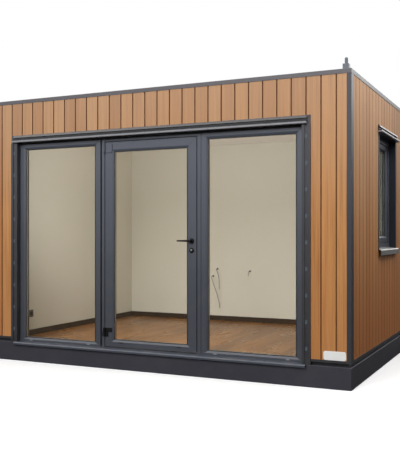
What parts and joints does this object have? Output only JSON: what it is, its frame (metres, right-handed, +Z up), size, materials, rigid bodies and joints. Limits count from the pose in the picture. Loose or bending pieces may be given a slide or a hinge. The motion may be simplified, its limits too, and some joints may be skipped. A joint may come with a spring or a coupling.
{
  "type": "office container",
  "caption": "Flat-roofed garden office cabin on a steel base frame, with upright board cladding, a glazed front screen with a hinged door, a side window and lifting pins.",
  "frame": {"origin": "on the ground at the middle of the base frame, on the underside of the middle floor joist", "axes": "+X along the front to the right-hand wall, front facing -Y, +Z up"},
  "size_m": [4.036, 3.036, 2.86],
  "materials": {
    "base_steel": "satin dark grey paint",
    "timber": "sawn softwood",
    "floor_wood": "brown wood floor, satin",
    "skirting_wood": "dark brown, satin",
    "wall_lining": "plain pale lining, matt",
    "cladding_wood": "warm brown boards with fine grain, matt",
    "trim_metal": "dark grey coated sheet, satin",
    "coping_metal": "grey coated sheet, satin",
    "roof_cover": "grey roofing sheet, matt",
    "lifting_steel": "grey painted steel",
    "sill_metal": "grey coated sheet, satin",
    "frame_metal": "anthracite coated profiles, satin",
    "glass": "clear sealed units",
    "hardware_black": "black coated metal, satin",
    "socket_plastic": "dark grey moulded plastic",
    "cable_sheath": "grey cable sheath"
  },
  "bodies": {
    "cabin": {"base_long_beams": "base_steel", "base_end_beams": "base_steel", "floor_joists": "timber", "roof_long_beams": "timber", "roof_end_beams": "timber", "floor_deck": "floor_wood", "skirting": "skirting_wood", "front_wall_left": "wall_lining", "front_wall_right": "wall_lining", "front_wall_head": "wall_lining", "rear_wall": "wall_lining", "left_wall": "wall_lining", "right_wall": "wall_lining", "roof_panel": "wall_lining", "front_cladding_left": "cladding_wood", "front_cladding_right": "cladding_wood", "front_cladding_head": "cladding_wood", "rear_cladding": "cladding_wood", "left_cladding": "cladding_wood", "right_cladding": "cladding_wood", "corner_trims": "trim_metal", "base_flashing": "trim_metal", "front_trim_jambs": "trim_metal", "front_trim_head": "trim_metal", "head_drip": "trim_metal", "side_window_trim": "trim_metal", "side_window_drip": "trim_metal", "coping_long": "coping_metal", "coping_ends": "coping_metal", "roof_covering": "roof_cover", "lifting_pins": "lifting_steel", "front_sill": "sill_metal", "side_window_sill": "sill_metal", "fixed_frame_stiles": "frame_metal", "fixed_frame_rails": "frame_metal", "door_frame_jambs": "frame_metal", "door_frame_head": "frame_metal", "side_window_frame": "frame_metal", "side_window_sash": "frame_metal", "fixed_glass": "glass", "side_window_glass": "glass", "hinge_frame_halves": "hardware_black", "wall_socket": "socket_plastic", "cable_grommets": "socket_plastic", "cable_tail_high": "cable_sheath", "cable_tail_low": "cable_sheath", "cable_stub": "cable_sheath"},
    "door": {"door_stiles": "frame_metal", "door_rails": "frame_metal", "door_glass": "glass", "hinge_leaf_halves": "hardware_black", "door_lock": "hardware_black"},
    "handle": {"door_handle": "hardware_black"}
  },
  "joints": [
    {"name": "door_swing", "type": "hinge", "parent": "cabin", "child": "door", "pos_m": [-0.503, -1.466, 1.2345], "axis": [0, 0, -1], "range_deg": [0, 100]},
    {"name": "handle_turn", "type": "hinge", "parent": "door", "child": "handle", "pos_m": [0.466, -1.453, 1.272], "axis": [0, -1, 0], "range_deg": [0, 40], "stiffness_Nm_per_rad": 1.5, "springref_deg": -28.65}
  ]
}
